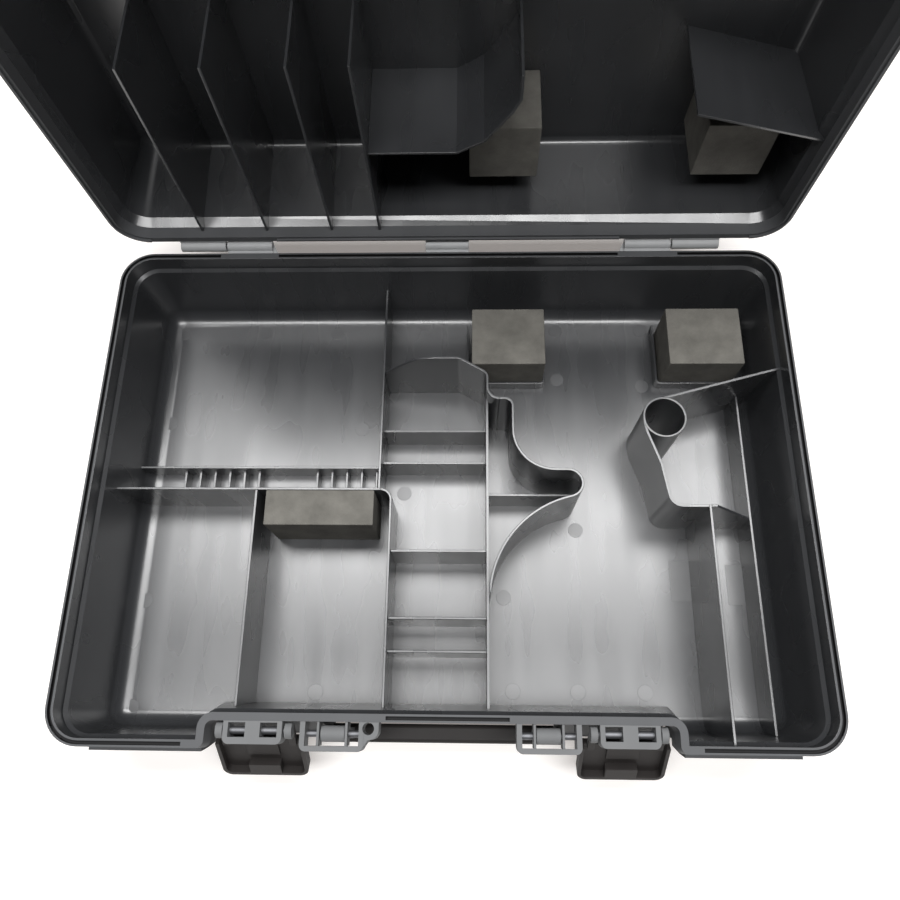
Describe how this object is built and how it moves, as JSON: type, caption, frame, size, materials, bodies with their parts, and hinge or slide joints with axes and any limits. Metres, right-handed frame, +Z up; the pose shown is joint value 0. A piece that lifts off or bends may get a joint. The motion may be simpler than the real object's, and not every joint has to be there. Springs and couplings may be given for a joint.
{
  "type": "hard tool case",
  "caption": "Hard plastic carrying case, open, with moulded compartments and foam pads in the tray and lid, over-centre latches, a folding handle and a padlock hole.",
  "frame": {"origin": "middle of the flat underside of the tray, on the surface it stands on", "axes": "+X to the right along the long side, +Y to the back where the lid is hinged, +Z up"},
  "size_m": [0.505, 0.4643, 0.445],
  "materials": {
    "shell": "satin",
    "foam": "matte",
    "latch": "satin",
    "pin": "brushed"
  },
  "bodies": {
    "base": {"base_shell": "shell", "base_knuckle_left": "shell", "base_knuckle_right": "shell", "mid_knuckle": "shell", "latch_ear_left": "shell", "latch_ear_right": "shell", "handle_pocket_left": "shell", "handle_pocket_right": "shell", "padlock_boss": "shell", "ear_panel_left": "shell", "ear_panel_right": "shell", "cross_wall": "shell", "comb_wall": "shell", "comb_ribs": "shell", "front_left_wall": "shell", "rear_left_wall": "shell", "centre_wall_left": "shell", "centre_wall_right": "shell", "rung_1": "shell", "rung_2": "shell", "rung_3": "shell", "rung_4": "shell", "rung_5": "shell", "rear_pocket_wall": "shell", "curved_wall": "shell", "curved_wall_web": "shell", "round_holder": "shell", "holder_rear_wall": "shell", "holder_front_wall": "shell", "ramp_wall": "shell", "right_wall": "shell", "right_low_wall": "shell", "foam_frame_left": "shell", "foam_frame_right": "shell", "foam_rear_left": "foam", "foam_rear_right": "foam", "foam_front": "foam", "hinge_pin_left": "pin", "hinge_pin_right": "pin", "latch_pin_left": "pin", "latch_pin_right": "pin", "handle_axle_left": "pin", "handle_axle_right": "pin"},
    "lid": {"lid_shell": "shell", "lid_knuckle_left": "shell", "lid_knuckle_right": "shell", "lid_fin_1": "shell", "lid_fin_2": "shell", "lid_fin_3": "shell", "lid_fin_4": "shell", "lid_wall_left": "shell", "lid_wall_right": "shell", "lid_foam_left": "foam", "lid_foam_right": "foam", "lid_catch_left": "shell", "lid_catch_right": "shell"},
    "left_latch": {"latch_left": "latch"},
    "right_latch": {"latch_right": "latch"},
    "handle": {"handle": "latch"}
  },
  "joints": [
    {"name": "lid_hinge", "type": "hinge", "parent": "base", "child": "lid", "pos_m": [0, 0.1842, 0.08025], "axis": [1, 0, 0], "range_deg": [0, 90]},
    {"name": "left_latch_turn", "type": "hinge", "parent": "base", "child": "left_latch", "pos_m": [-0.1169, -0.1672, 0.0735], "axis": [-1, 0, 0], "range_deg": [0, 145]},
    {"name": "right_latch_turn", "type": "hinge", "parent": "base", "child": "right_latch", "pos_m": [0.1169, -0.1672, 0.0735], "axis": [-1, 0, 0], "range_deg": [0, 145]},
    {"name": "handle_turn", "type": "hinge", "parent": "base", "child": "handle", "pos_m": [0, -0.16865, 0.072], "axis": [-1, 0, 0], "range_deg": [0, 90]}
  ]
}
